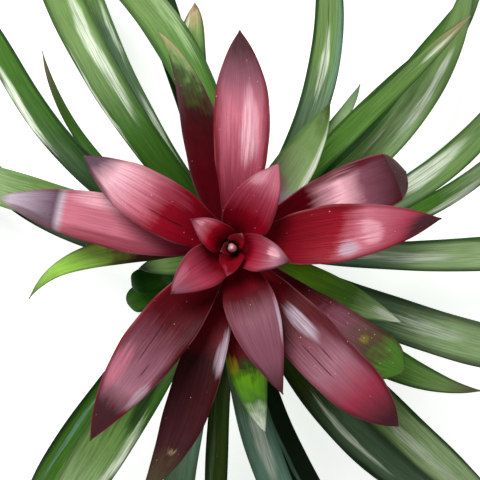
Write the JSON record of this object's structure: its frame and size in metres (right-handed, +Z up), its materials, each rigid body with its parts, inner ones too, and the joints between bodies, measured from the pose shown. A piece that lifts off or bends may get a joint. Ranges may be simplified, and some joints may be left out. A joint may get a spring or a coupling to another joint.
{
  "type": "scarlet star bromeliad",
  "caption": "Bromeliad cut at its base, standing on the cut: a rosette of arching green strap leaves and a stalk with a star of deep red pointed bracts round a small pink bud.",
  "frame": {"origin": "centre of the cut face at the foot of the stem, which is what the plant stands on", "axes": "+Z up along the stem and flower stalk; +Y towards the top edge of the picture; +X towards its right edge"},
  "size_m": [0.5795, 0.5854, 0.2624],
  "materials": {
    "stem": "matt",
    "flower_bud": "satin",
    "red_bract": "satin",
    "green_bract": "satin",
    "leaf": "satin"
  },
  "bodies": {
    "root": {"stem": "stem", "flower_bud": "flower_bud", "bract_01": "red_bract", "bract_02": "red_bract", "bract_03": "red_bract", "bract_04": "red_bract", "bract_05": "red_bract", "bract_06": "red_bract", "bract_07": "red_bract", "bract_08": "red_bract", "bract_09": "red_bract", "bract_10": "red_bract", "bract_11": "red_bract", "bract_12": "red_bract", "bract_13": "red_bract", "bract_14": "red_bract", "bract_15": "red_bract", "bract_16": "red_bract", "bract_17": "red_bract", "bract_18": "red_bract", "bract_19": "green_bract", "bract_20": "green_bract", "bract_21": "green_bract", "stalk_leaf_01": "green_bract", "stalk_leaf_02": "green_bract", "leaf_01": "leaf", "leaf_02": "leaf", "leaf_03": "leaf", "leaf_04": "leaf", "leaf_05": "leaf", "leaf_06": "leaf", "leaf_07": "leaf", "leaf_08": "leaf", "leaf_09": "leaf", "leaf_10": "leaf", "leaf_11": "leaf", "leaf_12": "leaf", "leaf_13": "leaf", "leaf_14": "leaf", "leaf_15": "leaf", "leaf_16": "leaf", "leaf_17": "leaf", "leaf_18": "leaf", "leaf_19": "leaf", "leaf_20": "leaf", "leaf_21": "leaf", "leaf_22": "leaf", "leaf_23": "leaf", "leaf_24": "leaf", "leaf_25": "leaf", "leaf_26": "leaf", "leaf_27": "leaf", "leaf_28": "leaf", "leaf_29": "leaf"}
  },
  "joints": []
}
